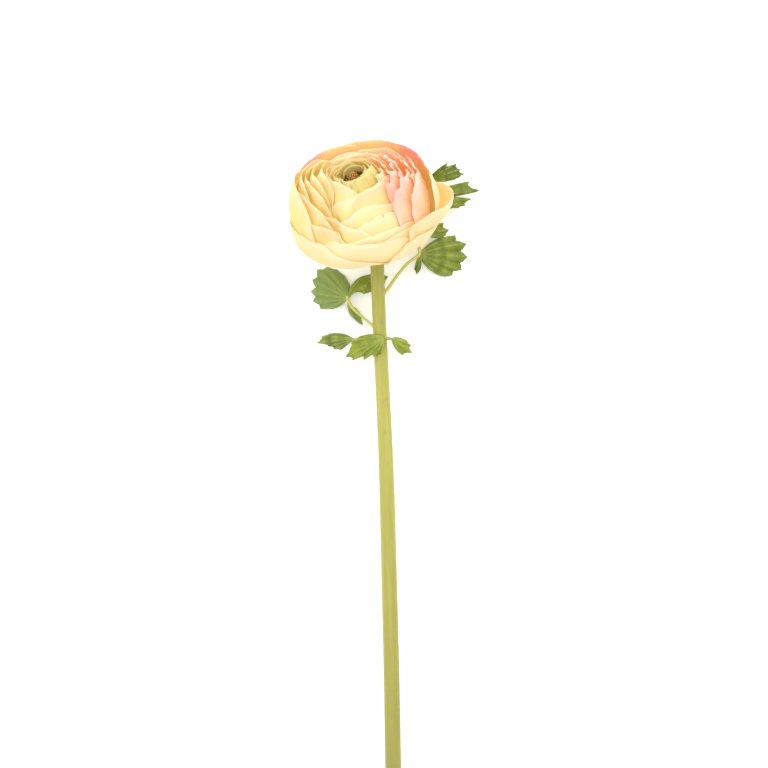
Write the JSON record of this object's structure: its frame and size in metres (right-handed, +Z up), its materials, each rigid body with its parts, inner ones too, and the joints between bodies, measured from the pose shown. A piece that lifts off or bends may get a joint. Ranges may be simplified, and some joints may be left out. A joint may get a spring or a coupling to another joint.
{
  "type": "ranunculus flower",
  "caption": "Cut ranunculus flower lying on its side: a double head of nested, cupped petals on a bare stem with three divided leaves.",
  "frame": {"origin": "middle of the bounding box at the level the flower lies on", "axes": "+Z up from the table, +Y along the stem towards the flower head, +X to the right of the stem seen from above"},
  "size_m": [0.1003, 0.4033, 0.0598],
  "materials": {
    "cream_petal": "matt, thin and slightly translucent, cream at the rim and warm yellow towards the claw",
    "coral_petal": "matt, thin and slightly translucent, coral and pink",
    "heart_petal": "matt, thin, yellow-green",
    "sepal": "matt, soft green",
    "leaf": "satin, green with paler veins",
    "stem": "satin, yellow-green, finely ribbed",
    "receptacle": "matt, pale green",
    "carpel": "matt, pinkish brown",
    "stamen": "matt, dark brown and yellow"
  },
  "bodies": {
    "root": {"carpel_cone": "carpel", "leaf_left": "leaf", "leaf_lower": "leaf", "leaf_right": "leaf", "petal_back_1": "cream_petal", "petal_back_2": "cream_petal", "petal_back_3": "cream_petal", "petal_back_4": "cream_petal", "petal_back_5": "cream_petal", "petal_back_6": "cream_petal", "petal_back_7": "cream_petal", "petal_back_8": "cream_petal", "petal_front_1": "cream_petal", "petal_front_10": "cream_petal", "petal_front_2": "cream_petal", "petal_front_3": "cream_petal", "petal_front_4": "cream_petal", "petal_front_5": "cream_petal", "petal_front_6": "cream_petal", "petal_front_7": "cream_petal", "petal_front_8": "cream_petal", "petal_front_9": "cream_petal", "petal_heart_1": "heart_petal", "petal_heart_2": "heart_petal", "petal_heart_3": "heart_petal", "petal_heart_4": "heart_petal", "petal_heart_5": "heart_petal", "petal_heart_6": "heart_petal", "petal_heart_7": "heart_petal", "petal_heart_8": "heart_petal", "petal_heart_9": "heart_petal", "petal_inner_1": "cream_petal", "petal_inner_2": "cream_petal", "petal_inner_3": "cream_petal", "petal_inner_4": "cream_petal", "petal_inner_5": "cream_petal", "petal_inner_6": "cream_petal", "petal_inner_7": "cream_petal", "petal_left_1": "cream_petal", "petal_left_2": "cream_petal", "petal_left_3": "cream_petal", "petal_left_4": "cream_petal", "petal_left_5": "cream_petal", "petal_left_6": "cream_petal", "petal_right_1": "coral_petal", "petal_right_2": "coral_petal", "petal_right_3": "coral_petal", "petal_right_4": "coral_petal", "petal_right_5": "coral_petal", "petal_right_6": "coral_petal", "petal_right_7": "coral_petal", "petal_right_8": "coral_petal", "receptacle": "receptacle", "sepal_1": "sepal", "sepal_2": "sepal", "sepal_3": "sepal", "sepal_4": "sepal", "sepal_5": "sepal", "stamen_ring": "stamen", "stem": "stem"}
  },
  "joints": []
}
